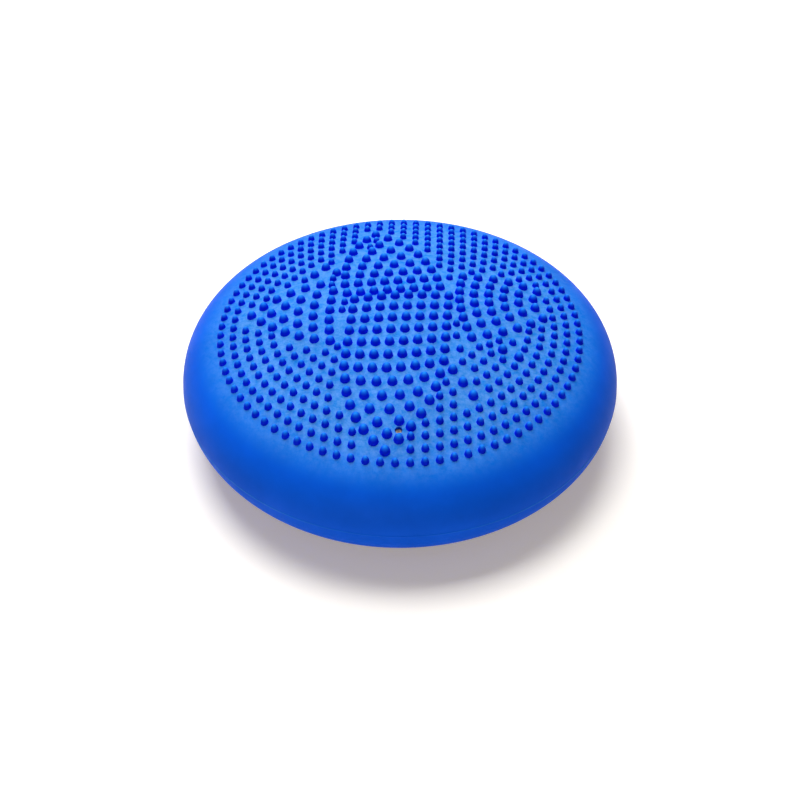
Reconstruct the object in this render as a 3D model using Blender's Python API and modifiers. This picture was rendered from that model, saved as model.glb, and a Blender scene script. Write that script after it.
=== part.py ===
"""Inflatable wobble cushion: a hollow moulded skin with a nubbed dome, and a needle valve.

Metres, +Z up. The origin is at the centre of the flat patch that the cushion stands on.
Profiles are turned about Z, with heights counted from the equator, where the mould's halves met.
"""
from collections import namedtuple
from math import asin, ceil, cos, hypot, pi, radians, sin, sqrt

import bmesh
import bpy
from mathutils import Matrix, Vector

# Skin: a dome, a rolled edge above and below the equator, and a flatter underside
CUSHION_RADIUS = 0.165
SKIN = 0.003
DOME_RADIUS = 0.490
UPPER_EDGE_RADIUS = 0.0375
LOWER_EDGE_RADIUS = 0.0355
UNDERSIDE_RADIUS = 0.690
FLAT_RADIUS = 0.078
BASE_SPLIT_DEG = 42.4

# Nubs: Nub holds a foot radius, a tip radius, a height and the bare skin it needs around its foot
Nub = namedtuple("Nub", "radius tip height space")
LARGE = Nub(radius=0.0036, tip=0.0022, height=0.0053, space=0.0006)
SMALL = Nub(radius=0.0027, tip=0.0016, height=0.0046, space=0.0007)
NUB_ROOT = 0.0014
NUB_SIDES = 4

# Small nubs stand on rings one pitch apart, with six more in each ring outwards, and then fill gaps
FIELD_INSET = 0.0050
RING_PITCH = 0.0095
RING_PHASE_DEG = 88.6
INNER_RING = 4
FILL_ROUNDS = 3

# Large nubs fill four arms: row n holds n nubs and any extra, and its ends step along a turning edge.
# A row past the full one holds one nub more and spreads a little wider. A row bows along its arm and
# slants across it, and the arm leans aside towards its tip.
Arm = namedtuple("Arm", "angle tip_inset first_row extra bow slant lean")
ARMS = (
    Arm(angle=268.2, tip_inset=0.0083, first_row=1, extra=0, bow=0.0109, slant=0.093, lean=-0.0061),
    Arm(angle=95.7, tip_inset=0.0228, first_row=1, extra=0, bow=-0.0042, slant=0.003, lean=0.0087),
    Arm(angle=185.1, tip_inset=0.0235, first_row=1, extra=0, bow=0.0057, slant=-0.115, lean=-0.0189),
    Arm(angle=-3.1, tip_inset=0.0115, first_row=3, extra=1, bow=-0.0123, slant=0.106, lean=0.0305),
)
ARM_EDGE_STEP = 0.0118
ARM_TIP_DEG = 46.0
ARM_TURN_DEG = 7.0
ARM_FULL_ROW = 7
ARM_ROW_STEP = 0.0115
ARM_MIDDLE_SPREAD = 0.0020

# Single files of large nubs: two between the right and the front arm, two short ones at the back left
Spur = namedtuple("Spur", "angle start nubs")
SPURS = (
    Spur(angle=-25.5, start=0.056, nubs=4),
    Spur(angle=-57.5, start=0.056, nubs=4),
    Spur(angle=134.0, start=0.070, nubs=2),
    Spur(angle=142.5, start=0.070, nubs=2),
)
SPUR_STEP = 0.0127

# Valve: a needle hole through the skin, with a rubber plug held in a moulded holder behind it
VALVE_ANGLE = 269.5
VALVE_INSET = 0.0246
HOLE_RADIUS = 0.0025
HOLE_EDGE = 0.0003
PLUG_RECESS = 0.0022
PLUG_RADIUS = 0.0031
PLUG_BULB_RADIUS = 0.0046
PLUG_BULB_HEIGHT = 0.0035
NEEDLE_RADIUS = 0.0009
NEEDLE_DEPTH = 0.0009
HOLDER_FLANGE_RADIUS = 0.0110
HOLDER_FLANGE = 0.0020
HOLDER_RADIUS = 0.0062
HOLDER_LENGTH = 0.0160

# Clearances and facets
SEAT_GAP = 0.0003
SKIN_STEPS = 36
DOME_RINGS = 7
EDGE_RINGS = 4
UNDER_RINGS = 2
VALVE_STEPS = 16
MERGE = 0.00001

# Places worked out from the sizes above, with heights from the equator
UPPER_CENTRE = CUSHION_RADIUS - UPPER_EDGE_RADIUS
LOWER_CENTRE = CUSHION_RADIUS - LOWER_EDGE_RADIUS
DOME_ANGLE = asin(UPPER_CENTRE / (DOME_RADIUS - UPPER_EDGE_RADIUS))
DOME_CENTRE = -(DOME_RADIUS - UPPER_EDGE_RADIUS) * cos(DOME_ANGLE)
DOME_EDGE = DOME_RADIUS * sin(DOME_ANGLE)
UNDER_ANGLE = asin(LOWER_CENTRE / (UNDERSIDE_RADIUS - LOWER_EDGE_RADIUS))
UNDER_CENTRE = (UNDERSIDE_RADIUS - LOWER_EDGE_RADIUS) * cos(UNDER_ANGLE)
EQUATOR_Z = sqrt(UNDERSIDE_RADIUS ** 2 - FLAT_RADIUS ** 2) - UNDER_CENTRE
FIELD_RADIUS = DOME_EDGE - FIELD_INSET
VALVE_DISTANCE = FIELD_RADIUS - VALVE_INSET

BLUE = (0.004, 0.082, 0.680, 1.0)
TAN = (0.560, 0.430, 0.290, 1.0)


def clear_scene():
    """Remove every object, so that a second run starts empty."""
    for item in list(bpy.data.objects):
        bpy.data.objects.remove(item, do_unlink=True)


def collection(name):
    """Make a collection in the scene."""
    group = bpy.data.collections.new(name)
    bpy.context.scene.collection.children.link(group)
    return group


def material(name, colour, roughness):
    """Make a plain Principled material."""
    made = bpy.data.materials.new(name)
    made.use_nodes = True
    shader = made.node_tree.nodes["Principled BSDF"]
    shader.inputs["Base Color"].default_value = colour
    shader.inputs["Roughness"].default_value = roughness
    shader.inputs["Metallic"].default_value = 0.0
    return made


def arc(centre_r, centre_z, radius, start, end, steps):
    """Points of an arc in the profile plane, with angles in radians from straight up."""
    turns = [start + (end - start) * i / steps for i in range(steps + 1)]
    return [(centre_r + radius * sin(t), centre_z + radius * cos(t)) for t in turns]


def turned(name, profile, steps, group, parent, look):
    """Turn a profile about the parent's Z axis. It runs down its outer side."""
    mesh = bpy.data.meshes.new(name)
    edges = [(i, i + 1) for i in range(len(profile) - 1)]
    if profile[0][0] > MERGE:
        edges.append((len(profile) - 1, 0))
    mesh.from_pydata([(r, 0.0, z) for r, z in profile], edges, [])
    mesh.materials.append(look)
    piece = bpy.data.objects.new(name, mesh)
    group.objects.link(piece)
    piece.parent = parent
    screw = piece.modifiers.new("turn", "SCREW")
    screw.axis = "Z"
    screw.steps = steps
    screw.render_steps = steps
    screw.use_merge_vertices = True
    screw.merge_threshold = MERGE
    screw.use_smooth_shade = True
    return piece


def top_profile():
    """The dome's outer face from the axis to its edge, then its inner face back to the axis."""
    edge = DOME_ANGLE - SEAT_GAP / 2 / DOME_RADIUS
    outer = arc(0.0, DOME_CENTRE, DOME_RADIUS, 0.0, edge, DOME_RINGS)
    inner = arc(0.0, DOME_CENTRE, DOME_RADIUS - SKIN, edge, 0.0, DOME_RINGS)
    return outer + inner


def wall_profile(centre_r, radius, start, end):
    """A closed section of a rolled edge, shortened by half a seat gap at both ends."""
    trim = SEAT_GAP / 2 / radius
    outer = arc(centre_r, 0.0, radius, start + trim, end - trim, EDGE_RINGS)
    inner = arc(centre_r, 0.0, radius - SKIN, end - trim, start + trim, EDGE_RINGS)
    return outer + inner


def base_profile():
    """The dish that stands on the floor: inner face up to the rim, then outer face down to the flat."""
    rim = pi / 2 + radians(BASE_SPLIT_DEG) + SEAT_GAP / 2 / LOWER_EDGE_RADIUS
    bend = pi - UNDER_ANGLE
    inner_radius = UNDERSIDE_RADIUS - SKIN
    inner_flat = asin(sqrt(inner_radius ** 2 - (UNDER_CENTRE + EQUATOR_Z - SKIN) ** 2) / inner_radius)
    outer_flat = asin(FLAT_RADIUS / UNDERSIDE_RADIUS)
    inner = [(0.0, SKIN - EQUATOR_Z)]
    inner += arc(0.0, UNDER_CENTRE, inner_radius, pi - inner_flat, bend, UNDER_RINGS)
    inner += arc(LOWER_CENTRE, 0.0, LOWER_EDGE_RADIUS - SKIN, bend, rim, EDGE_RINGS)[1:]
    outer = arc(LOWER_CENTRE, 0.0, LOWER_EDGE_RADIUS, rim, bend, EDGE_RINGS)
    outer += arc(0.0, UNDER_CENTRE, UNDERSIDE_RADIUS, bend, pi - outer_flat, UNDER_RINGS)[1:]
    outer.append((0.0, -EQUATOR_Z))
    return inner + outer


def holder_profile():
    """A flanged tube that follows the skin's inner face, with heights from its outer face."""
    top = -SKIN - SEAT_GAP
    bore = PLUG_RADIUS + SEAT_GAP
    rim = top - HOLDER_FLANGE_RADIUS ** 2 / (2 * (DOME_RADIUS - SKIN))
    return [
        (bore, top),
        (HOLDER_FLANGE_RADIUS, rim),
        (HOLDER_FLANGE_RADIUS, rim - HOLDER_FLANGE),
        (HOLDER_RADIUS, rim - HOLDER_FLANGE),
        (HOLDER_RADIUS, top - HOLDER_LENGTH),
        (bore, top - HOLDER_LENGTH),
    ]


def plug_profile():
    """A rubber plug: a head in the hole, a stem in the holder and a bulb that locks under it."""
    shoulder = -SKIN - SEAT_GAP
    stem_end = shoulder - HOLDER_LENGTH - SEAT_GAP
    head = HOLE_RADIUS - SEAT_GAP
    return [
        (0.0, -PLUG_RECESS - NEEDLE_DEPTH),
        (NEEDLE_RADIUS, -PLUG_RECESS),
        (head, -PLUG_RECESS),
        (head, shoulder),
        (PLUG_RADIUS, shoulder),
        (PLUG_RADIUS, stem_end),
        (PLUG_BULB_RADIUS, stem_end),
        (PLUG_RADIUS, stem_end - PLUG_BULB_HEIGHT),
        (0.0, stem_end - PLUG_BULB_HEIGHT),
    ]


def dome_normal(x, y):
    """The dome's outward direction above a plan point."""
    return Vector((x, y, sqrt(DOME_RADIUS ** 2 - x * x - y * y))) / DOME_RADIUS


def polar(distance, angle):
    """A plan point from a distance and an angle in radians."""
    return distance * cos(angle), distance * sin(angle)


VALVE_X, VALVE_Y = polar(VALVE_DISTANCE, radians(VALVE_ANGLE))


class NubField:
    """The nubs that have been placed, none closer to another or to the valve than its space."""

    def __init__(self):
        self.nubs = []

    def add(self, x, y, nub):
        """Place a nub where the field and the nubs before it leave room."""
        if hypot(x, y) > FIELD_RADIUS + MERGE:
            return
        if hypot(x - VALVE_X, y - VALVE_Y) < nub.radius + HOLE_RADIUS + HOLE_EDGE:
            return
        for other_x, other_y, other in self.nubs:
            apart = nub.radius + nub.space + other.radius + other.space
            if hypot(x - other_x, y - other_y) < apart:
                return
        self.nubs.append((x, y, nub))

    def add_arm(self, arm):
        """Rows of large nubs from an arm's tip past the middle, each row bowed and slanted."""
        tip = FIELD_RADIUS - arm.tip_inset
        heading = [radians(ARM_TIP_DEG - ARM_TURN_DEG * i) for i in range(ARM_FULL_ROW - 1)]
        full_width = ARM_EDGE_STEP * sum(sin(h) for h in heading)
        full_depth = ARM_EDGE_STEP * sum(cos(h) for h in heading)
        last_row = ARM_FULL_ROW + ceil(max(tip - full_depth, 0.0) / ARM_ROW_STEP) + 1
        ahead = Vector(polar(1.0, radians(arm.angle)))
        aside = Vector((-ahead.y, ahead.x))
        for row in range(arm.first_row, last_row + 1):
            count = min(row + arm.extra, ARM_FULL_ROW)
            width = ARM_EDGE_STEP * sum(sin(h) for h in heading[:row - 1])
            depth = ARM_EDGE_STEP * sum(cos(h) for h in heading[:row - 1])
            if row > ARM_FULL_ROW:
                count = ARM_FULL_ROW + 1
                width += ARM_MIDDLE_SPREAD
                depth += ARM_ROW_STEP * (row - ARM_FULL_ROW)
            outwards = (tip - depth) / tip
            bow = arm.bow * outwards * width / full_width
            for i in range(count):
                share = 2 * i / (count - 1) - 1 if count > 1 else 0.0
                along = tip - depth + bow * (1 - share * share) - arm.slant * width * share
                spot = ahead * along + aside * (width * share + arm.lean * outwards)
                self.add(spot.x, spot.y, LARGE)

    def add_spur(self, spur):
        """A single file of large nubs."""
        for i in range(spur.nubs):
            self.add(*polar(spur.start + SPUR_STEP * i, radians(spur.angle)), LARGE)

    def add_rings(self, fill):
        """Rings of small nubs from the rim inwards. A later fill turns them on, and every other one
        moves them in by half a pitch."""
        rings = int(FIELD_RADIUS / RING_PITCH)
        for ring in range(rings, INNER_RING - 1, -1):
            distance = FIELD_RADIUS - (rings - ring + fill % 2 / 2) * RING_PITCH
            for i in range(6 * ring):
                turn = 2 * pi * (i + fill / (FILL_ROUNDS + 1)) / (6 * ring)
                self.add(*polar(distance, radians(RING_PHASE_DEG) + turn), SMALL)


def nub_layout():
    """Every nub as a plan point and a size."""
    field = NubField()
    for arm in ARMS:
        field.add_arm(arm)
    for spur in SPURS:
        field.add_spur(spur)
    for fill in range(FILL_ROUNDS + 1):
        field.add_rings(fill)
    return field.nubs


def nub_cones(group, parent):
    """One mesh of upright nubs, rooted in the dome, to be joined to the skin."""
    shape = bmesh.new()
    for x, y, nub in nub_layout():
        length = nub.height + NUB_ROOT
        root = DOME_CENTRE + dome_normal(x, y).z * DOME_RADIUS - NUB_ROOT
        place = Matrix.Translation((x, y, root + length / 2))
        bmesh.ops.create_cone(
            shape, cap_ends=True, segments=NUB_SIDES,
            radius1=nub.radius, radius2=nub.tip, depth=length, matrix=place,
        )
    return tool("nub_cones", shape, group, parent)


def needle_hole(group, parent):
    """A cylinder along the valve's axis that opens the skin for the needle."""
    shape = bmesh.new()
    bmesh.ops.create_cone(
        shape, cap_ends=True, segments=VALVE_STEPS,
        radius1=HOLE_RADIUS, radius2=HOLE_RADIUS, depth=4 * SKIN,
    )
    return tool("needle_hole", shape, group, parent)


def tool(name, shape, group, parent):
    """Turn a bmesh into a hidden object that a Boolean uses."""
    mesh = bpy.data.meshes.new(name)
    shape.to_mesh(mesh)
    shape.free()
    piece = bpy.data.objects.new(name, mesh)
    group.objects.link(piece)
    piece.parent = parent
    piece.hide_render = True
    piece.display_type = "WIRE"
    return piece


def boolean(piece, other, operation):
    """Join a hidden tool to a piece, or cut it out."""
    step = piece.modifiers.new(other.name, "BOOLEAN")
    step.operation = operation
    step.object = other
    step.solver = "EXACT"


def empty(name, place, parent, group):
    """An empty that carries pieces on a joint's or a valve's axis."""
    axis = bpy.data.objects.new(name, None)
    group.objects.link(axis)
    axis.parent = parent
    axis.matrix_local = place
    return axis


def build():
    """Make every piece of the cushion."""
    clear_scene()
    parts = collection("wobble_cushion")
    tools = collection("wobble_cushion_tools")
    skin_look = material("blue_vinyl", BLUE, 0.45)
    holder_look = material("valve_vinyl", BLUE, 0.55)
    plug_look = material("valve_rubber", TAN, 0.70)

    equator = empty("equator", Matrix.Translation((0.0, 0.0, EQUATOR_Z)), None, parts)
    split = pi / 2 + radians(BASE_SPLIT_DEG)
    turned("base_skin", base_profile(), SKIN_STEPS, parts, equator, skin_look)
    lower = wall_profile(LOWER_CENTRE, LOWER_EDGE_RADIUS, pi / 2, split)
    turned("lower_wall", lower, SKIN_STEPS, parts, equator, skin_look)
    upper = wall_profile(UPPER_CENTRE, UPPER_EDGE_RADIUS, DOME_ANGLE, pi / 2)
    turned("upper_wall", upper, SKIN_STEPS, parts, equator, skin_look)
    top = turned("top_skin", top_profile(), SKIN_STEPS, parts, equator, skin_look)

    normal = dome_normal(VALVE_X, VALVE_Y)
    mouth = Vector((0.0, 0.0, DOME_CENTRE)) + normal * DOME_RADIUS
    place = Matrix.Translation(mouth) @ normal.to_track_quat("Z", "Y").to_matrix().to_4x4()
    valve = empty("valve_axis", place, equator, parts)
    turned("valve_holder", holder_profile(), VALVE_STEPS, parts, valve, holder_look)
    turned("valve_plug", plug_profile(), VALVE_STEPS, parts, valve, plug_look)

    boolean(top, nub_cones(tools, equator), "UNION")
    boolean(top, needle_hole(tools, valve), "DIFFERENCE")


build()
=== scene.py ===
"""Looks of an inflatable wobble cushion: blue vinyl skin, massage nubs and a needle valve.

Metres, +Z up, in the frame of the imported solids: the cushion stands on z = 0 and the valve faces -Y.
Every surface is worked out as whole arrays from a few sizes, and keeps its place in its mesh.
"""
from collections import namedtuple
from math import acos, asin, ceil, cos, hypot, pi, radians, sin, sqrt

import bpy
import numpy as np
from bpy.props import FloatProperty, FloatVectorProperty, IntProperty, PointerProperty
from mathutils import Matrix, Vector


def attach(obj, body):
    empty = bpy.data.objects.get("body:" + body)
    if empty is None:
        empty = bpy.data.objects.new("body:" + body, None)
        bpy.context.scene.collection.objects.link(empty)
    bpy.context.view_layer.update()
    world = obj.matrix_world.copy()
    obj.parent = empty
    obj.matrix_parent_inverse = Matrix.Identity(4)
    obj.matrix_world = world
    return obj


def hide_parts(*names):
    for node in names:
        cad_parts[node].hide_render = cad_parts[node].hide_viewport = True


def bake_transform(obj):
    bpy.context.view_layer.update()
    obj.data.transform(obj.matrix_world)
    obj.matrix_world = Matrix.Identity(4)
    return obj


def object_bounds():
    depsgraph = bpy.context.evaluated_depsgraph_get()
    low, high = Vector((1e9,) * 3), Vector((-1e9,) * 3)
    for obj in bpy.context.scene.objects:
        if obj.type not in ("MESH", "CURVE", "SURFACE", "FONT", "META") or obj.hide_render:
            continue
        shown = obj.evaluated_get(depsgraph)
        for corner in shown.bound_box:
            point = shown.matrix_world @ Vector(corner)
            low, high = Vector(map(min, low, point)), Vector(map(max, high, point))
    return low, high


bl_info = {
    "name": "Wobble Cushion",
    "version": (1, 0, 0),
    "blender": (4, 5, 0),
    "location": "3D View > Sidebar > Wobble Cushion",
    "description": "Builds the visible skin, nubs and valve of an inflatable wobble cushion",
    "category": "Add Mesh",
}

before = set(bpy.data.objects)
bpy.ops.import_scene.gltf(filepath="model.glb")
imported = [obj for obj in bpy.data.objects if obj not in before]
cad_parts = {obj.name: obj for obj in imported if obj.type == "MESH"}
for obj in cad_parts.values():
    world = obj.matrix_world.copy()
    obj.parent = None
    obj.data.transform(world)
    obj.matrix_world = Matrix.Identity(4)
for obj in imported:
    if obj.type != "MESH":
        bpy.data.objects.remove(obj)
CAD_LOW, CAD_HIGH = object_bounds()

# Bodies from the floor up, and the joints between them: press, rock to the front, rock to the side
BASE, LOWER, UPPER, TOP = "base", "lower_edge", "upper_edge", "top"

# Nubs: large ones fill four arms and four spurs, small ones fill rings round them and then the gaps.
# A row of an arm bows along it and slants across it, and the arm leans aside towards its tip.
Nub = namedtuple("Nub", "radius height space")
Arm = namedtuple("Arm", "angle tip_inset first_row extra bow slant lean")
ARMS = (
    Arm(angle=268.2, tip_inset=0.0083, first_row=1, extra=0, bow=0.0109, slant=0.093, lean=-0.0061),
    Arm(angle=95.7, tip_inset=0.0228, first_row=1, extra=0, bow=-0.0042, slant=0.003, lean=0.0087),
    Arm(angle=185.1, tip_inset=0.0235, first_row=1, extra=0, bow=0.0057, slant=-0.115, lean=-0.0189),
    Arm(angle=-3.1, tip_inset=0.0115, first_row=3, extra=1, bow=-0.0123, slant=0.106, lean=0.0305),
)
ARM_EDGE_STEP = 0.0118
ARM_TIP_DEG = 46.0
ARM_TURN_DEG = 7.0
ARM_FULL_ROW = 7
ARM_ROW_STEP = 0.0115
ARM_MIDDLE_SPREAD = 0.0020
Spur = namedtuple("Spur", "angle start nubs")
SPURS = (
    Spur(angle=-25.5, start=0.056, nubs=4),
    Spur(angle=-57.5, start=0.056, nubs=4),
    Spur(angle=134.0, start=0.070, nubs=2),
    Spur(angle=142.5, start=0.070, nubs=2),
)
SPUR_STEP = 0.0127
RING_PITCH = 0.0095
RING_PHASE_DEG = 88.6
INNER_RING = 4
FILL_ROUNDS = 3
LARGE_SPACE = 0.0006
SMALL_SPACE = 0.0007
HOLE_EDGE = 0.0003
FIELD_SLACK = 0.00001

# A nub's rows climb by these angles; its height and radius follow powers of their sine and cosine.
# Its foot lies a little under the skin.
NUB_ROW_DEGREES = (0.0, 9.0, 32.0, 54.0, 73.0, 86.0)
NUB_HEIGHT_POWER = 1.05
NUB_RADIUS_POWER = 0.85
NUB_SINK = 0.0001

# The plug behind the needle hole, measured from its shoulder under the skin
PLUG_RADIUS = 0.0031
PLUG_LENGTH = 0.0163
PLUG_BULB_RADIUS = 0.0046
PLUG_BULB_HEIGHT = 0.0035
SEAT_GAP = 0.0003
# Its needle dimple from the bottom up, in shares of the dimple's radius and depth
DIMPLE_SHARES = ((0.25, 1.0), (0.60, 0.7), (1.0, 0.1), (1.3, 0.0))
# Rows of the rounding at the needle hole's edge
LIP_DEGREES = (90.0, 60.0, 30.0)

# The painted sheen on the skin, a lit top, is full only where the upward part of its normal is at least
# this
UPWARD_FULL = 0.5

# The finish: scuffs per metre, depth of the grain, and what a dark patch adds to the roughness
SCUFF_SCALE = 210.0
GRAIN_DEPTH = 0.0002
PATCH_ROUGHNESS = 0.08
BLACK = (0.0, 0.0, 0.0, 1.0)
WHITE = (1.0, 1.0, 1.0, 1.0)

# The floor: half its width, and how far it lies under the cushion so that no faces coincide.
# It is all white at a few times the distance at which it starts to turn white.
FLOOR_HALF = 10.0
FLOOR_GAP = 0.0002
GLOW_REACH = 3.0

# Rows of the surfaces
DOME_ROWS = 44
EDGE_ROWS = 22
UNDER_ROWS = 12
REST_ROWS = 6
PLUG_COLUMNS = 32


def length(name, description, default):
    """A size in metres."""
    return FloatProperty(
        name=name, description=description, default=default, min=0.0, precision=4, unit="LENGTH"
    )


def share(name, description, default):
    """A number from 0 to 1."""
    return FloatProperty(
        name=name, description=description, default=default, min=0.0, max=1.0, subtype="FACTOR"
    )


def turn(name, description, degrees):
    """An angle."""
    return FloatProperty(
        name=name, description=description, default=radians(degrees), subtype="ANGLE", unit="ROTATION"
    )


def watts(name, description, default):
    """A lamp's power."""
    return FloatProperty(name=name, description=description, default=default, min=0.0, unit="POWER")


def colour(name, description, default):
    """A linear colour."""
    return FloatVectorProperty(
        name=name, description=description, default=(*default, 1.0), size=4,
        min=0.0, max=1.0, subtype="COLOR",
    )


class SkinSettings(bpy.types.PropertyGroup):
    """The hollow skin: a dome, a rolled edge and a flatter underside."""

    radius: length("Radius", "From the middle to the widest point of the edge", CAD_HIGH.x)
    wall: length("Wall", "Thickness of the vinyl", 0.003)
    dome_radius: length("Dome Radius", "Radius of the sphere that the top follows", 0.490)
    upper_edge: length("Upper Edge", "Radius of the roll above the parting line", 0.0375)
    lower_edge: length("Lower Edge", "Radius of the roll below the parting line", 0.0355)
    underside: length("Underside", "Radius of the sphere that the underside follows", 0.690)
    flat_radius: length("Flat Radius", "Radius of the flat patch that the cushion rests on", 0.078)
    press_top: length("Press Top", "Height up to which the skin gives under a load", 0.0215)
    rock_bottom: length("Rock Bottom", "Height from which the skin gives to the side", 0.0505)
    ridge_height: length("Ridge Height", "How far the parting line stands out", 0.00025)
    ridge_width: length("Ridge Width", "Half width of the parting line", 0.0006)
    columns: IntProperty(
        name="Columns", description="Faces round the cushion", default=180, min=24, max=720
    )
    tone: colour("Colour", "Colour of the vinyl round the edge", (0.002, 0.107, 0.758))
    # The sheen colour is a paler copy of the vinyl's colour: painted sheen on the lit, upward-facing top.
    sheen_tone: colour("Sheen Colour", "Colour of the painted sheen on the vinyl's upward-facing top", (0.002, 0.191, 0.655))
    # Scuffs are paler mottled flecks within the painted sheen.
    scuff_tone: colour("Scuff Colour", "Colour of fine scuffs in the painted sheen", (0.096, 0.302, 0.752))
    # Heights over which the painted sheen fades in
    wear_bottom: length("Sheen Bottom", "Height from which the painted sheen starts", 0.070)
    wear_top: length("Sheen Top", "Height from which the painted sheen is full", 0.087)
    # Brightness of the painted highlight along the parting line's ridge
    line_wear: share("Line Highlight", "How bright the painted highlight on the parting line is", 1.0)
    patches: share("Patches", "How far the colour darkens in patches", 0.10)
    shine: share("Shine", "Specular level of the satin finish", 0.035)
    roughness: share("Roughness", "Roughness of the satin finish", 0.48)


class NubSettings(bpy.types.PropertyGroup):
    """The massage nubs on the dome."""

    large_radius: length("Large Radius", "Foot radius of a large nub", 0.0036)
    large_height: length("Large Height", "Height of a large nub", 0.0053)
    small_radius: length("Small Radius", "Foot radius of a small nub", 0.0027)
    small_height: length("Small Height", "Height of a small nub", 0.0046)
    flare: length("Flare", "How far the foot spreads on to the skin", 0.0002)
    field_inset: length("Field Inset", "From the dome's edge to the outer ring", 0.0050)
    sides: IntProperty(name="Sides", description="Sides of a nub", default=10, min=6, max=24)
    # A nub's colour is darker than the skin's vinyl: painted shade on its sides and foot. Its tip colour is
    # a painted highlight.
    tone: colour("Colour", "Colour of a nub's sides, darkened as painted shade", (0.0, 0.018, 0.780))
    tip_highlight_tone: colour("Tip Colour", "Colour of the painted highlight on a nub's tip", (0.010, 0.230, 0.880))
    roughness: share("Roughness", "Roughness of a nub's sides", 0.50)
    tip_roughness: share("Tip Roughness", "Roughness of a nub's polished tip", 0.40)


class ValveSettings(bpy.types.PropertyGroup):
    """The needle valve among the front nubs."""

    angle: turn("Angle", "Where the valve stands round the cushion", 269.5)
    inset: length("Inset", "From the outer ring of nubs to the needle hole", 0.0246)
    hole_radius: length("Hole Radius", "Radius of the needle hole in the skin", 0.0025)
    lip: length("Lip", "Rounding of the needle hole's edge", 0.0004)
    recess: length("Recess", "How deep the plug lies in the hole", 0.0022)
    needle_radius: length("Needle Radius", "Radius of the dimple that guides the needle", 0.0009)
    needle_depth: length("Needle Depth", "Depth of that dimple", 0.0009)
    tone: colour("Colour", "Colour of the rubber plug", (0.470, 0.370, 0.300))
    patches: share("Patches", "How far the plug's colour darkens in patches", 0.25)
    roughness: share("Roughness", "Roughness of the rubber", 0.70)


class StageSettings(bpy.types.PropertyGroup):
    """Camera, light and floor."""

    camera_back: length("Camera Back", "Camera's distance in front of the cushion's axis", 0.634)
    camera_height: length("Camera Height", "Camera's height over the floor", 0.639)
    camera_pitch: turn("Camera Pitch", "How far the camera looks down", 44.85)
    lens: FloatProperty(
        name="Lens", description="Focal length for a 36 mm sensor", default=50.85, min=1.0, unit="CAMERA"
    )
    floor_tone: colour("Floor Colour", "Colour of the pale floor", (0.92, 0.91, 0.90))
    floor_glow: colour("Floor Glow", "What the camera sees on top of the floor", (0.300, 0.255, 0.170))
    glow_start: length("Glow Start", "Distance from which the floor turns white", 0.35)
    ambient: share("Ambient", "Light from all round", 0.12)
    key_power: watts("Key Power", "Power of the wide lamp above", 21.5)
    back_power: watts("Back Power", "Power of the lamp behind", 9.5)
    front_power: watts("Front Power", "Power of the low lamp in front", 3.0)


# Places that follow from the skin's sizes
SkinForm = namedtuple(
    "SkinForm",
    "equator upper_centre lower_centre "
    "dome_angle dome_centre dome_edge "
    "under_angle under_centre flat_angle",
)


def skin_form(skin):
    """Centres and end angles of the arcs in the skin's section, each tangent to the next."""
    upper_centre = skin.radius - skin.upper_edge
    lower_centre = skin.radius - skin.lower_edge
    dome_angle = asin(upper_centre / (skin.dome_radius - skin.upper_edge))
    under_angle = asin(lower_centre / (skin.underside - skin.lower_edge))
    under_rise = (skin.underside - skin.lower_edge) * cos(under_angle)
    equator = sqrt(skin.underside ** 2 - skin.flat_radius ** 2) - under_rise
    return SkinForm(
        equator=equator,
        upper_centre=upper_centre,
        lower_centre=lower_centre,
        dome_angle=dome_angle,
        dome_centre=equator - (skin.dome_radius - skin.upper_edge) * cos(dome_angle),
        dome_edge=skin.dome_radius * sin(dome_angle),
        under_angle=under_angle,
        under_centre=equator + under_rise,
        flat_angle=asin(skin.flat_radius / skin.underside),
    )


def unit(vectors):
    """Vectors divided by their lengths."""
    return vectors / np.linalg.norm(vectors, axis=-1, keepdims=True)


def circle(columns):
    """Cosine and sine of equal angles round a full turn."""
    angles = np.arange(columns) * 2 * pi / columns
    return np.stack([np.cos(angles), np.sin(angles)], axis=1)


def arc(centre_r, centre_z, radius, angles):
    """Section points and normals: the centre plus the radius times sine and cosine of angles from up."""
    normals = np.stack([np.sin(angles), np.cos(angles)], axis=1)
    return np.array([centre_r, centre_z]) + radius * normals, normals


def joined(*arcs):
    """Arcs end to end, with each shared point kept once."""
    points = [arcs[0][0]] + [points[1:] for points, _ in arcs[1:]]
    normals = [arcs[0][1]] + [normals[1:] for _, normals in arcs[1:]]
    return np.concatenate(points), np.concatenate(normals)


def shell_section(points, normals, wall, ridge):
    """A closed loop of points and normals.

    The outer line runs down, raised along its normals by a ridge's heights, and its normals turn to stay
    square to the raised line. The plain line, one wall inside it, runs back up.
    """
    outer = points + ridge * normals
    slope = np.gradient(outer, axis=0)
    facing = normals.copy()
    facing[1:-1] = unit(np.stack([-slope[:, 1], slope[:, 0]], axis=1))[1:-1]
    inner = points - wall * normals
    return np.concatenate([outer, inner[::-1]]), np.concatenate([facing, -normals[::-1]])


def turned(section, columns):
    """A section turned about Z: radius times the cosine and sine of the angle, and its own height."""
    ring = circle(columns)
    grid = np.empty((len(section), columns, 3))
    grid[..., :2] = section[:, None, :1] * ring
    grid[..., 2] = section[:, 1:]
    return grid


def grid_quads(rows, columns, loop):
    """Corners of the quads between rows; columns close, and rows close where the section is a loop."""
    index = np.arange(rows * columns).reshape(rows, columns)
    if loop:
        index = np.concatenate([index, index[:1]])
    following = np.roll(index, -1, axis=1)
    quads = np.stack([index[:-1], index[1:], following[1:], following[:-1]], axis=-1)
    return quads.reshape(-1, 4)


def end_caps(rows, columns):
    """One face across the first row and one across the last, both facing out of the piece."""
    last = (rows - 1) * columns
    return np.stack([np.arange(columns), last + np.arange(columns)[::-1]])


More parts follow.
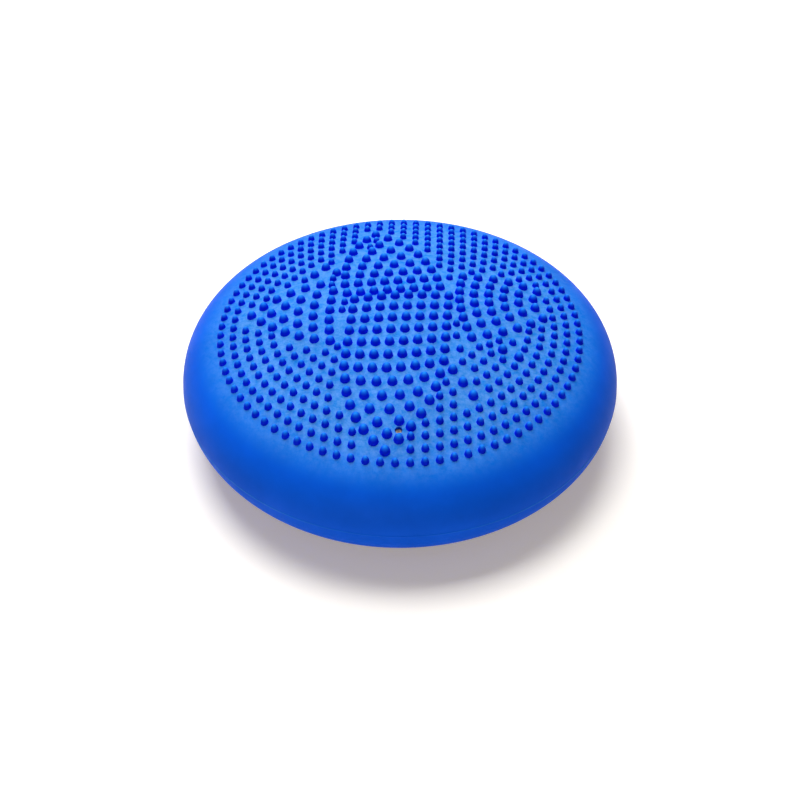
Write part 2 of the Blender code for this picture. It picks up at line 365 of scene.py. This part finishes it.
def add_piece(name, points, normals, faces, material, **attributes):
    """Put arrays of points, normals and faces into a new smooth mesh object with one material, and each
    further array into an attribute of its points."""
    mesh = bpy.data.meshes.new(name)
    mesh.from_pydata(points.reshape(-1, 3), [], faces, shade_flat=False)
    mesh.normals_split_custom_set_from_vertices(unit(normals.reshape(-1, 3)))
    mesh.materials.append(material)
    for label, values in attributes.items():
        attribute = mesh.attributes.new(label, "FLOAT", "POINT")
        attribute.data.foreach_set("value", values.ravel().astype(np.float32))
    piece = bpy.data.objects.new(name, mesh)
    bpy.context.scene.collection.objects.link(piece)
    return piece


def parting_bell(skin, points):
    """1 at the parting line, and less by the exponential of the squared distance over or under it."""
    from_line = points[..., -1] - skin_form(skin).equator
    return np.exp(-(from_line / skin.ridge_width) ** 2)


def skin_piece(name, points, normals, faces, skin, material):
    """A piece of skin with its painted sheen and highlight, whichever is more of two.

    One is a painted sheen: a smoothstep of the height, from none to all, on faces that look upwards. The
    other is a painted highlight: a bell curve of height at the parting line, which grows with the distance
    to either side.
    """
    # Painted sheen: upward-facing skin high on the cushion turns paler, as if lit
    climbed = np.clip((points[..., 2] - skin.wear_bottom) / (skin.wear_top - skin.wear_bottom), 0.0, 1.0)
    upward = np.clip(normals[..., 2] / UPWARD_FULL, 0.0, 1.0)
    painted_sheen = climbed * climbed * (3.0 - 2.0 * climbed) * upward
    # Painted highlight along the parting line, strongest at the left and right sides
    line = skin.line_wear * parting_bell(skin, points) * np.abs(points[..., 0]) / skin.radius
    return add_piece(name, points, normals, faces, material, wear=np.maximum(painted_sheen, line))


def edge_sections(skin):
    """The rolled edge's three sections, from the dome's edge down to the flat patch.

    The upper one follows the upper roll, the middle one crosses the parting line, and the lower one follows
    the lower roll and the underside. Each is a line of points with their normals.
    """
    form = skin_form(skin)
    upper_end = acos((skin.rock_bottom - form.equator) / skin.upper_edge)
    lower_end = acos((skin.press_top - form.equator) / skin.lower_edge)
    under_end = pi - form.under_angle
    graded = np.linspace(0.0, 1.0, EDGE_ROWS) ** 2
    upper = (form.upper_centre, form.equator, skin.upper_edge)
    lower = (form.lower_centre, form.equator, skin.lower_edge)
    under = (0.0, form.under_centre, skin.underside)
    return (
        arc(*upper, np.linspace(form.dome_angle, upper_end, EDGE_ROWS)),
        joined(
            arc(*upper, pi / 2 + (upper_end - pi / 2) * graded[::-1]),
            arc(*lower, pi / 2 + (lower_end - pi / 2) * graded),
        ),
        joined(
            arc(*lower, np.linspace(lower_end, under_end, EDGE_ROWS)),
            arc(*under, np.linspace(under_end, pi - form.flat_angle, UNDER_ROWS)),
        ),
    )


def edge_piece(name, section, skin, material):
    """A closed ring of skin turned from one section of the rolled edge. At the parting line the skin stands
    out by a bell curve of height."""
    ridge = skin.ridge_height * parting_bell(skin, section[0])[:, None]
    points, normals = shell_section(*section, skin.wall, ridge)
    quads = grid_quads(len(points), skin.columns, loop=True)
    return skin_piece(
        name, turned(points, skin.columns), turned(normals, skin.columns), quads.tolist(), skin, material
    )


def rest_piece(name, skin, material):
    """The flat patch: a plate of one wall's thickness whose edge meets the lower edge of the skin."""
    points, normals = edge_sections(skin)[2]
    shares = np.linspace(1.0 / REST_ROWS, 1.0, REST_ROWS)[:, None]
    inner_edge = points[-1] - skin.wall * normals[-1]
    inner = inner_edge * [1.0, 0.0] * shares + inner_edge * [0.0, 1.0]
    outer = points[-1] * shares[::-1]
    up = np.tile([0.0, 1.0], (REST_ROWS, 1))
    section = np.concatenate([inner, outer])
    facing = np.concatenate([up, -up])
    quads = grid_quads(len(section), skin.columns, loop=False)
    caps = end_caps(len(section), skin.columns)
    faces = quads.tolist() + caps.tolist()
    return skin_piece(
        name, turned(section, skin.columns), turned(facing, skin.columns), faces, skin, material
    )


ValveFrame = namedtuple("ValveFrame", "mouth axis across along")


def tangent_frame(axis):
    """Two directions square to each axis and to each other: across lies near +X, along near +Y."""
    across = unit(np.array([1.0, 0.0, 0.0]) - axis * axis[..., :1])
    return across, np.cross(axis, across)


def valve_frame(skin, nubs, valve):
    """The needle hole's mouth on the dome, and its axis square to the dome."""
    form = skin_form(skin)
    distance = form.dome_edge - nubs.field_inset - valve.inset
    x, y = distance * cos(valve.angle), distance * sin(valve.angle)
    axis = np.array([x, y, sqrt(skin.dome_radius ** 2 - x * x - y * y)]) / skin.dome_radius
    mouth = np.array([0.0, 0.0, form.dome_centre]) + skin.dome_radius * axis
    return ValveFrame(mouth, axis, *tangent_frame(axis))


def dome_piece(name, skin, nubs, valve, material):
    """The dome: a shell between the needle hole and the dome's edge.

    Each outer point is the dome's centre plus its radius times a direction, which turns from a small circle
    round the needle hole to the dome's edge by the square of the row's share. The inner face is one wall
    nearer the centre, and a quarter circle rounds the hole's edge.
    """
    form = skin_form(skin)
    hole = valve_frame(skin, nubs, valve)
    ring = circle(skin.columns)
    radial = ring[:, :1] * hole.across + ring[:, 1:] * hole.along
    near = (valve.hole_radius + valve.lip) / skin.dome_radius
    start = hole.axis * cos(near) + radial * sin(near)
    edge = np.column_stack([sin(form.dome_angle) * ring, np.full(skin.columns, cos(form.dome_angle))])
    blend = np.linspace(0.0, 1.0, DOME_ROWS)[:, None, None] ** 2
    facing = unit((1.0 - blend) * start + blend * edge)
    centre = np.array([0.0, 0.0, form.dome_centre])

    bend = np.radians(LIP_DEGREES)[:, None, None]
    lip_radius = valve.hole_radius + valve.lip * (1.0 - np.sin(bend))
    lip = hole.mouth - hole.axis * valve.lip * (1.0 - np.cos(bend)) + radial * lip_radius
    lip_facing = hole.axis * np.cos(bend) - radial * np.sin(bend)
    bore_end = (hole.mouth - hole.axis * skin.wall + radial * valve.hole_radius)[None]

    points = np.concatenate([
        centre + skin.dome_radius * facing,
        centre + (skin.dome_radius - skin.wall) * facing[::-1],
        bore_end,
        lip,
    ])
    normals = np.concatenate([facing, -facing[::-1], -radial[None], lip_facing])
    quads = grid_quads(len(points), skin.columns, loop=True)
    return skin_piece(name, points, normals, quads.tolist(), skin, material)


class NubField:
    """Nubs placed one by one, none closer to another or to the needle hole than its space allows."""

    def __init__(self, radius, hole_x, hole_y, hole_radius):
        self.radius = radius
        self.hole = hole_x, hole_y, hole_radius + HOLE_EDGE
        self.placed = []

    def add(self, x, y, nub):
        """Place a nub where there is room for it."""
        hole_x, hole_y, hole_radius = self.hole
        if hypot(x, y) > self.radius + FIELD_SLACK:
            return
        if hypot(x - hole_x, y - hole_y) < nub.radius + hole_radius:
            return
        for other_x, other_y, other in self.placed:
            apart = nub.radius + nub.space + other.radius + other.space
            if hypot(x - other_x, y - other_y) < apart:
                return
        self.placed.append((x, y, nub))

    def add_arm(self, arm, nub):
        """Rows across an arm from its tip past the middle: row n holds n nubs, and its ends step along
        an edge that turns by the same angle each time. Rows past the full one hold one nub more."""
        tip = self.radius - arm.tip_inset
        headings = [radians(ARM_TIP_DEG - ARM_TURN_DEG * i) for i in range(ARM_FULL_ROW - 1)]
        full_width = ARM_EDGE_STEP * sum(sin(h) for h in headings)
        full_depth = ARM_EDGE_STEP * sum(cos(h) for h in headings)
        last_row = ARM_FULL_ROW + ceil(max(tip - full_depth, 0.0) / ARM_ROW_STEP) + 1
        ahead_x, ahead_y = cos(radians(arm.angle)), sin(radians(arm.angle))
        for row in range(arm.first_row, last_row + 1):
            count = min(row + arm.extra, ARM_FULL_ROW)
            width = ARM_EDGE_STEP * sum(sin(h) for h in headings[:row - 1])
            depth = ARM_EDGE_STEP * sum(cos(h) for h in headings[:row - 1])
            if row > ARM_FULL_ROW:
                count = ARM_FULL_ROW + 1
                width += ARM_MIDDLE_SPREAD
                depth += ARM_ROW_STEP * (row - ARM_FULL_ROW)
            outwards = (tip - depth) / tip
            bow = arm.bow * outwards * width / full_width
            for i in range(count):
                side = 2 * i / (count - 1) - 1 if count > 1 else 0.0
                out = tip - depth + bow * (1 - side * side) - arm.slant * width * side
                aside = width * side + arm.lean * outwards
                self.add(ahead_x * out - ahead_y * aside, ahead_y * out + ahead_x * aside, nub)

    def add_spur(self, spur, nub):
        """A single file of nubs outwards."""
        for i in range(spur.nubs):
            out = spur.start + SPUR_STEP * i
            self.add(out * cos(radians(spur.angle)), out * sin(radians(spur.angle)), nub)

    def add_rings(self, fill, nub):
        """Rings from the rim inwards, each with six nubs fewer than the one outside it. A later fill turns
        them on by a share of a step, and every other fill moves them in by half a pitch."""
        rings = int(self.radius / RING_PITCH)
        for ring in range(rings, INNER_RING - 1, -1):
            out = self.radius - (rings - ring + fill % 2 / 2) * RING_PITCH
            for i in range(6 * ring):
                angle = radians(RING_PHASE_DEG) + 2 * pi * (i + fill / (FILL_ROUNDS + 1)) / (6 * ring)
                self.add(out * cos(angle), out * sin(angle), nub)


def nub_layout(skin, nubs, valve):
    """Plan places, foot radii and heights of all nubs, as four arrays."""
    large = Nub(nubs.large_radius, nubs.large_height, LARGE_SPACE)
    small = Nub(nubs.small_radius, nubs.small_height, SMALL_SPACE)
    mouth = valve_frame(skin, nubs, valve).mouth
    field = NubField(skin_form(skin).dome_edge - nubs.field_inset, mouth[0], mouth[1], valve.hole_radius)
    for arm in ARMS:
        field.add_arm(arm, large)
    for spur in SPURS:
        field.add_spur(spur, large)
    for fill in range(FILL_ROUNDS + 1):
        field.add_rings(fill, small)
    return np.array([(x, y, nub.radius, nub.height) for x, y, nub in field.placed]).T


def dome_height(skin, x, y):
    """Height of the dome over plan points: its centre plus the root of its radius squared less theirs."""
    return skin_form(skin).dome_centre + np.sqrt(skin.dome_radius ** 2 - x * x - y * y)


def nub_piece(name, skin, nubs, valve, material):
    """All nubs as closed gumdrops standing upright, the way a mould lets them go.

    A row at angle a has the foot radius times a power of cos a, and rises by the height times a power of
    sin a. The first row spreads by the flare and lies just under the skin, with the skin's own normal; rows
    above it turn from the skin's slope to level. The share of painted highlight over the painted-shade
    sides, which also makes the tip smoother, is the square of the share climbed over the upper half.
    """
    x, y, radius, height = (values[:, None, None] for values in nub_layout(skin, nubs, valve))
    climb = np.radians(NUB_ROW_DEGREES)[:, None]
    rise = np.sin(climb) ** NUB_HEIGHT_POWER
    rows_radius = radius * np.cos(climb) ** NUB_RADIUS_POWER
    rows_radius[:, :1] += nubs.flare
    ring = circle(nubs.sides)
    points = np.empty((len(x), len(climb), nubs.sides, 3))
    points[..., 0] = x + rows_radius * ring[:, 0]
    points[..., 1] = y + rows_radius * ring[:, 1]
    under = dome_height(skin, points[..., 0], points[..., 1])
    level = dome_height(skin, x, y)
    points[..., 2] = under + (level - under + height) * rise
    points[:, 0, :, 2] -= NUB_SINK

    normals = np.empty_like(points)
    normals[..., :2] = np.gradient(height * rise, axis=1)[..., None] * ring
    normals[..., 2] = -np.gradient(rows_radius, axis=1)
    normals[:, 0] = points[:, 0] - [0.0, 0.0, skin_form(skin).dome_centre]

    count, rows = rows_radius.shape[:2]
    one_nub = rows * nubs.sides
    starts = np.arange(count)[:, None, None] * one_nub
    quads = (grid_quads(rows, nubs.sides, loop=False)[:, ::-1] + starts).reshape(-1, 4)
    caps = (end_caps(rows, nubs.sides)[:, ::-1] + starts).reshape(-1, nubs.sides)
    # Painted highlight towards each nub's tip over its painted-shade sides; the same share makes the tip
    # smoother
    wear = np.broadcast_to(np.clip(2.0 * rise - 1.0, 0.0, 1.0) ** 2, points.shape[:-1])
    return add_piece(name, points, normals, quads.tolist() + caps.tolist(), material, wear=wear)


def plug_piece(name, skin, nubs, valve, material):
    """The rubber plug: a section turned about the needle hole's axis, from its dimple to its bulb."""
    hole = valve_frame(skin, nubs, valve)
    face = -valve.recess
    shoulder = -skin.wall - SEAT_GAP
    stem_end = shoulder - PLUG_LENGTH
    head = valve.hole_radius - SEAT_GAP
    dimple = [(valve.needle_radius * out, face - valve.needle_depth * down) for out, down in DIMPLE_SHARES]
    section = np.array(dimple + [
        (head - SEAT_GAP, face),
        (head, face - SEAT_GAP),
        (head, shoulder),
        (PLUG_RADIUS, shoulder),
        (PLUG_RADIUS, stem_end),
        (PLUG_BULB_RADIUS, stem_end),
        (PLUG_BULB_RADIUS, stem_end - SEAT_GAP),
        (PLUG_RADIUS, stem_end - PLUG_BULB_HEIGHT),
    ])
    slope = np.gradient(section, axis=0)
    facing = np.stack([-slope[:, 1], slope[:, 0]], axis=1)
    ring = circle(PLUG_COLUMNS)
    radial = ring[:, :1] * hole.across + ring[:, 1:] * hole.along
    points = hole.mouth + hole.axis * section[:, 1:, None] + radial * section[:, :1, None]
    normals = hole.axis * facing[:, 1:, None] + radial * facing[:, :1, None]
    quads = grid_quads(len(section), PLUG_COLUMNS, loop=False)
    caps = end_caps(len(section), PLUG_COLUMNS)
    return add_piece(name, points, normals, quads.tolist() + caps.tolist(), material)


def add_node(tree, kind, inputs=None, **settings):
    """Add a node, set its properties, and give each input a value or a link."""
    node = tree.nodes.new(kind)
    for name, value in settings.items():
        setattr(node, name, value)
    for name, value in (inputs or {}).items():
        if isinstance(value, bpy.types.NodeSocket):
            tree.links.new(value, node.inputs[name])
        else:
            node.inputs[name].default_value = value
    return node


def moulded_effect():
    """Node group of a moulded surface, with patches of darker colour, patchy roughness and a fine grain.

    Where its attribute asks, a second tone paints sheen and highlight, broken up by scuffs of a third.
    """
    tree = bpy.data.node_groups.get("moulded_surface")
    if tree:
        return tree
    tree = bpy.data.node_groups.new("moulded_surface", "ShaderNodeTree")
    for name, kind in (
        ("Colour", "NodeSocketColor"),
        ("Sheen Colour", "NodeSocketColor"),
        ("Scuff Colour", "NodeSocketColor"),
        ("Sheen And Polish", "NodeSocketFloat"),
        ("Scuff Scale", "NodeSocketFloat"),
        ("Patches", "NodeSocketFloat"),
        ("Patch Scale", "NodeSocketFloat"),
        ("Grain Scale", "NodeSocketFloat"),
        ("Roughness", "NodeSocketFloat"),
        ("Worn Roughness", "NodeSocketFloat"),
    ):
        tree.interface.new_socket(name, in_out="INPUT", socket_type=kind)
    for name, kind in (
        ("Colour", "NodeSocketColor"),
        ("Roughness", "NodeSocketFloat"),
        ("Height", "NodeSocketFloat"),
    ):
        tree.interface.new_socket(name, in_out="OUTPUT", socket_type=kind)
    given = tree.nodes.new("NodeGroupInput").outputs
    place = add_node(tree, "ShaderNodeTexCoord").outputs["Object"]

    patches = add_node(
        tree, "ShaderNodeTexNoise",
        {"Vector": place, "Scale": given["Patch Scale"], "Detail": 4.0, "Roughness": 0.6},
    ).outputs["Fac"]
    patch_mask = add_node(
        tree, "ShaderNodeMapRange", {"Value": patches, "From Min": 0.35, "From Max": 0.65}
    ).outputs["Result"]
    scuffs = add_node(
        tree, "ShaderNodeTexNoise",
        {"Vector": place, "Scale": given["Scuff Scale"], "Detail": 3.0, "Roughness": 0.75},
    ).outputs["Fac"]
    scuff_mask = add_node(
        tree, "ShaderNodeMapRange", {"Value": scuffs, "From Min": 0.3, "From Max": 0.7}
    ).outputs["Result"]
    scuffing = add_node(
        tree, "ShaderNodeMath", {0: scuff_mask, 1: given["Sheen And Polish"]}, operation="MULTIPLY"
    ).outputs["Value"]
    # The painted sheen's paler colour, broken up by scuffs
    painted_sheen = add_node(
        tree, "ShaderNodeMix",
        {"Factor": scuffing, "A": given["Sheen Colour"], "B": given["Scuff Colour"]}, data_type="RGBA",
    ).outputs["Result"]
    # Painted sheen and highlight, as far as the attribute asks
    with_sheen = add_node(
        tree, "ShaderNodeMix",
        {"Factor": given["Sheen And Polish"], "A": given["Colour"], "B": painted_sheen}, data_type="RGBA",
    ).outputs["Result"]
    darkening = add_node(
        tree, "ShaderNodeMath", {0: patch_mask, 1: given["Patches"]}, operation="MULTIPLY"
    ).outputs["Value"]
    tone = add_node(
        tree, "ShaderNodeMix",
        {"Factor": darkening, "A": with_sheen, "B": BLACK}, data_type="RGBA",
    ).outputs["Result"]
    smooth = add_node(
        tree, "ShaderNodeMix",
        {"Factor": given["Sheen And Polish"], "A": given["Roughness"], "B": given["Worn Roughness"]},
    ).outputs["Result"]
    rough = add_node(
        tree, "ShaderNodeMath", {0: patch_mask, 1: PATCH_ROUGHNESS, 2: smooth}, operation="MULTIPLY_ADD"
    ).outputs["Value"]
    grain = add_node(
        tree, "ShaderNodeTexNoise", {"Vector": place, "Scale": given["Grain Scale"], "Detail": 3.0}
    ).outputs["Fac"]
    out = tree.nodes.new("NodeGroupOutput")
    tree.links.new(tone, out.inputs["Colour"])
    tree.links.new(rough, out.inputs["Roughness"])
    tree.links.new(grain, out.inputs["Height"])
    return tree


def surface_material(name, shine, bump, effect_values):
    """A material whose shader is fed by the moulded surface, with the painted sheen, highlight and polish
    that the piece's attribute asks for.
    """
    material = bpy.data.materials.new(name)
    material.use_nodes = True
    tree = material.node_tree
    shader = tree.nodes["Principled BSDF"]
    shader.inputs["Specular IOR Level"].default_value = shine
    # The attribute says how far the painted sheen, highlight and polish reach
    wear = add_node(tree, "ShaderNodeAttribute", attribute_name="wear").outputs["Fac"]
    effect = add_node(tree, "ShaderNodeGroup", node_tree=moulded_effect())
    for label, value in effect_values.items():
        effect.inputs[label].default_value = value
    tree.links.new(wear, effect.inputs["Sheen And Polish"])
    relief = add_node(
        tree, "ShaderNodeBump",
        {"Height": effect.outputs["Height"], "Strength": bump, "Distance": GRAIN_DEPTH},
    )
    tree.links.new(relief.outputs["Normal"], shader.inputs["Normal"])
    tree.links.new(effect.outputs["Colour"], shader.inputs["Base Color"])
    tree.links.new(effect.outputs["Roughness"], shader.inputs["Roughness"])
    return material


def skin_material(skin):
    """Satin blue vinyl with a painted sheen, paler towards the top, and a painted highlight on the parting
    line, with faint patches and a fine moulded grain.
    """
    return surface_material("blue_vinyl_skin", shine=skin.shine, bump=0.25, effect_values={
        "Colour": skin.tone, "Sheen Colour": skin.sheen_tone, "Scuff Colour": skin.scuff_tone,
        "Scuff Scale": SCUFF_SCALE, "Patches": skin.patches, "Patch Scale": 28.0, "Grain Scale": 1300.0,
        "Roughness": skin.roughness, "Worn Roughness": skin.roughness,
    })


def nub_material(skin, nubs):
    """The same vinyl on the nubs, with painted shade darkening the sides and foot and a painted highlight
    paling the tip, which is also smoother.
    """
    return surface_material("blue_vinyl_nubs", shine=skin.shine, bump=0.15, effect_values={
        "Colour": nubs.tone, "Sheen Colour": nubs.tip_highlight_tone, "Scuff Colour": nubs.tip_highlight_tone,
        "Scuff Scale": SCUFF_SCALE, "Patches": 0.08, "Patch Scale": 45.0, "Grain Scale": 1500.0,
        "Roughness": nubs.roughness, "Worn Roughness": nubs.tip_roughness,
    })


def rubber_material(valve):
    """Matt tan rubber of the plug."""
    return surface_material("tan_valve_rubber", shine=0.3, bump=0.3, effect_values={
        "Colour": valve.tone, "Sheen Colour": valve.tone, "Scuff Colour": valve.tone,
        "Scuff Scale": SCUFF_SCALE, "Patches": valve.patches, "Patch Scale": 700.0, "Grain Scale": 4000.0,
        "Roughness": valve.roughness, "Worn Roughness": valve.roughness,
    })


def seen_by_camera(tree):
    """1 for rays from the camera, its reflections and refractions, and 0 for light that falls on things."""
    path = add_node(tree, "ShaderNodeLightPath").outputs
    first = add_node(
        tree, "ShaderNodeMath", {0: path["Is Camera Ray"], 1: path["Is Glossy Ray"]}, operation="MAXIMUM"
    ).outputs["Value"]
    return add_node(
        tree, "ShaderNodeMath", {0: first, 1: path["Is Transmission Ray"]}, operation="MAXIMUM"
    ).outputs["Value"]


def floor_material(stage):
    """A pale matt floor that keeps the shadow, with a glow that lifts it to white away from the cushion."""
    material = bpy.data.materials.new("pale_floor")
    material.use_nodes = True
    tree = material.node_tree
    tree.nodes.clear()
    matt = add_node(tree, "ShaderNodeBsdfDiffuse", {"Color": stage.floor_tone})
    distance = add_node(
        tree, "ShaderNodeVectorMath",
        {0: add_node(tree, "ShaderNodeTexCoord").outputs["Object"]}, operation="LENGTH",
    ).outputs["Value"]
    away = add_node(
        tree, "ShaderNodeMapRange",
        {"Value": distance, "From Min": stage.glow_start, "From Max": GLOW_REACH * stage.glow_start},
        interpolation_type="SMOOTHSTEP",
    ).outputs["Result"]
    tone = add_node(
        tree, "ShaderNodeMix",
        {"Factor": away, "A": stage.floor_glow, "B": WHITE}, data_type="RGBA",
    ).outputs["Result"]
    glow = add_node(tree, "ShaderNodeEmission", {"Color": tone, "Strength": seen_by_camera(tree)})
    both = tree.nodes.new("ShaderNodeAddShader")
    tree.links.new(matt.outputs["BSDF"], both.inputs[0])
    tree.links.new(glow.outputs["Emission"], both.inputs[1])
    out = tree.nodes.new("ShaderNodeOutputMaterial")
    tree.links.new(both.outputs["Shader"], out.inputs["Surface"])
    return material


def add_lamp(name, place, size, power):
    """A soft lamp of a width and a depth that faces the cushion and stays out of the picture."""
    data = bpy.data.lights.new(name, "AREA")
    data.shape = "RECTANGLE"
    data.size, data.size_y = size
    data.energy = power
    lamp = bpy.data.objects.new(name, data)
    bpy.context.scene.collection.objects.link(lamp)
    lamp.location = place
    lamp.rotation_euler = lamp.location.to_track_quat("Z", "Y").to_euler()
    lamp.visible_camera = False
    return lamp


class WOBBLE_OT_stage(bpy.types.Operator):
    """Add the camera, the soft light and the pale floor"""

    bl_idname = "wobble.stage"
    bl_label = "Stage"

    def execute(self, context):
        stage = context.scene.wobble_stage
        scene = context.scene
        scene.view_settings.view_transform = "Standard"

        lens = bpy.data.cameras.new("camera")
        lens.lens = stage.lens
        camera = bpy.data.objects.new("camera", lens)
        scene.collection.objects.link(camera)
        camera.location = (0.0, -stage.camera_back, stage.camera_height)
        camera.rotation_euler = (pi / 2 - stage.camera_pitch, 0.0, 0.0)
        scene.camera = camera

        world = bpy.data.worlds.new("studio")
        world.use_nodes = True
        scene.world = world
        strength = add_node(
            world.node_tree, "ShaderNodeMapRange",
            {"Value": seen_by_camera(world.node_tree), "To Min": stage.ambient, "To Max": 1.0},
        )
        background = world.node_tree.nodes["Background"]
        background.inputs["Color"].default_value = WHITE
        world.node_tree.links.new(strength.outputs["Result"], background.inputs["Strength"])

        add_lamp("softbox_above", place=(-0.10, 0.37, 1.42), size=(1.1, 0.65), power=stage.key_power)
        add_lamp("softbox_behind", place=(-0.48, 1.06, 1.08), size=(0.9, 0.6), power=stage.back_power)
        add_lamp("softbox_front", place=(-0.25, -1.28, 0.25), size=(0.4, 0.4), power=stage.front_power)

        across, down = FLOOR_HALF, -FLOOR_GAP
        corners = np.array([
            (-across, -across, down),
            (across, -across, down),
            (across, across, down),
            (-across, across, down),
        ])
        up = np.tile([0.0, 0.0, 1.0], (4, 1))
        floor = add_piece("floor", corners, up, [[0, 1, 2, 3]], floor_material(stage))
        return {"FINISHED"}


class WOBBLE_OT_dome(bpy.types.Operator):
    """Add the domed top of the skin with its needle hole"""

    bl_idname = "wobble.dome"
    bl_label = "Dome"

    def execute(self, context):
        scene = context.scene
        material = skin_material(scene.wobble_skin)
        dome = dome_piece("dome_skin", scene.wobble_skin, scene.wobble_nubs, scene.wobble_valve, material)
        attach(dome, TOP)
        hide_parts("top_skin")
        return {"FINISHED"}


class WOBBLE_OT_edge(bpy.types.Operator):
    """Add the rolled edge in three rings, split at the heights where the skin gives as the cushion is
    pressed and rocked
    """

    bl_idname = "wobble.edge"
    bl_label = "Rolled Edge"

    def execute(self, context):
        skin = context.scene.wobble_skin
        material = bpy.data.materials["blue_vinyl_skin"]
        form = skin_form(skin)
        dome_edge = form.dome_centre + skin.dome_radius * cos(form.dome_angle)
        upper, middle, lower = edge_sections(skin)
        for name, section, bodies, heights, node in (
            ("upper_edge_skin", upper, (UPPER, TOP), (skin.rock_bottom, dome_edge), "upper_wall"),
            ("middle_edge_skin", middle, (LOWER, UPPER), (skin.press_top, skin.rock_bottom), "upper_wall"),
            ("lower_edge_skin", lower, (BASE, LOWER), (0.0, skin.press_top), "lower_wall"),
        ):
            ring = edge_piece(name, section, skin, material)
            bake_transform(ring)
            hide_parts(node)
        return {"FINISHED"}


class WOBBLE_OT_rest(bpy.types.Operator):
    """Add the flat patch that the cushion rests on"""

    bl_idname = "wobble.rest"
    bl_label = "Flat Rest"

    def execute(self, context):
        skin = context.scene.wobble_skin
        rest = rest_piece("rest_skin", skin, bpy.data.materials["blue_vinyl_skin"])
        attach(rest, BASE)
        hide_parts("base_skin")
        return {"FINISHED"}


class WOBBLE_OT_nubs(bpy.types.Operator):
    """Add the massage nubs on the dome"""

    bl_idname = "wobble.nubs"
    bl_label = "Massage Nubs"

    def execute(self, context):
        scene = context.scene
        material = nub_material(scene.wobble_skin, scene.wobble_nubs)
        skin, nubs, valve = scene.wobble_skin, scene.wobble_nubs, scene.wobble_valve
        field = nub_piece("massage_nubs", skin, nubs, valve, material)
        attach(field, TOP)
        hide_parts("top_skin")
        return {"FINISHED"}


class WOBBLE_OT_valve(bpy.types.Operator):
    """Add the rubber plug and dress its holder"""

    bl_idname = "wobble.valve"
    bl_label = "Needle Valve"

    def execute(self, context):
        scene = context.scene
        material = rubber_material(scene.wobble_valve)
        plug = plug_piece("needle_plug", scene.wobble_skin, scene.wobble_nubs, scene.wobble_valve, material)
        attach(plug, TOP)
        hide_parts("valve_plug")
        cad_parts["valve_holder"].data.materials[0] = bpy.data.materials["blue_vinyl_skin"]
        return {"FINISHED"}


OPERATORS = (
    WOBBLE_OT_stage,
    WOBBLE_OT_dome,
    WOBBLE_OT_edge,
    WOBBLE_OT_rest,
    WOBBLE_OT_nubs,
    WOBBLE_OT_valve,
)
SETTINGS = {
    "wobble_skin": SkinSettings,
    "wobble_nubs": NubSettings,
    "wobble_valve": ValveSettings,
    "wobble_stage": StageSettings,
}


class WOBBLE_PT_sidebar(bpy.types.Panel):
    """Settings and steps of the wobble cushion"""

    bl_idname = "WOBBLE_PT_sidebar"
    bl_label = "Wobble Cushion"
    bl_space_type = "VIEW_3D"
    bl_region_type = "UI"
    bl_category = "Wobble Cushion"

    def draw(self, context):
        for operator in OPERATORS:
            self.layout.operator(operator.bl_idname)
        for name, group in SETTINGS.items():
            box = self.layout.box()
            box.label(text=name.replace("_", " ").title())
            for setting in group.__annotations__:
                box.prop(getattr(context.scene, name), setting)


def register():
    """Register the settings, the operators and the panel."""
    for name, group in SETTINGS.items():
        bpy.utils.register_class(group)
        setattr(bpy.types.Scene, name, PointerProperty(type=group))
    for kind in (*OPERATORS, WOBBLE_PT_sidebar):
        bpy.utils.register_class(kind)


def unregister():
    """Take back all that register added."""
    for kind in (WOBBLE_PT_sidebar, *reversed(OPERATORS)):
        bpy.utils.unregister_class(kind)
    for name, group in reversed(SETTINGS.items()):
        delattr(bpy.types.Scene, name)
        bpy.utils.unregister_class(group)


def main():
    """Build every piece through its operator."""
    register()
    bpy.ops.wobble.stage()
    bpy.ops.wobble.dome()
    bpy.ops.wobble.edge()
    bpy.ops.wobble.rest()
    bpy.ops.wobble.nubs()
    bpy.ops.wobble.valve()


if __name__ == "__main__":
    main()
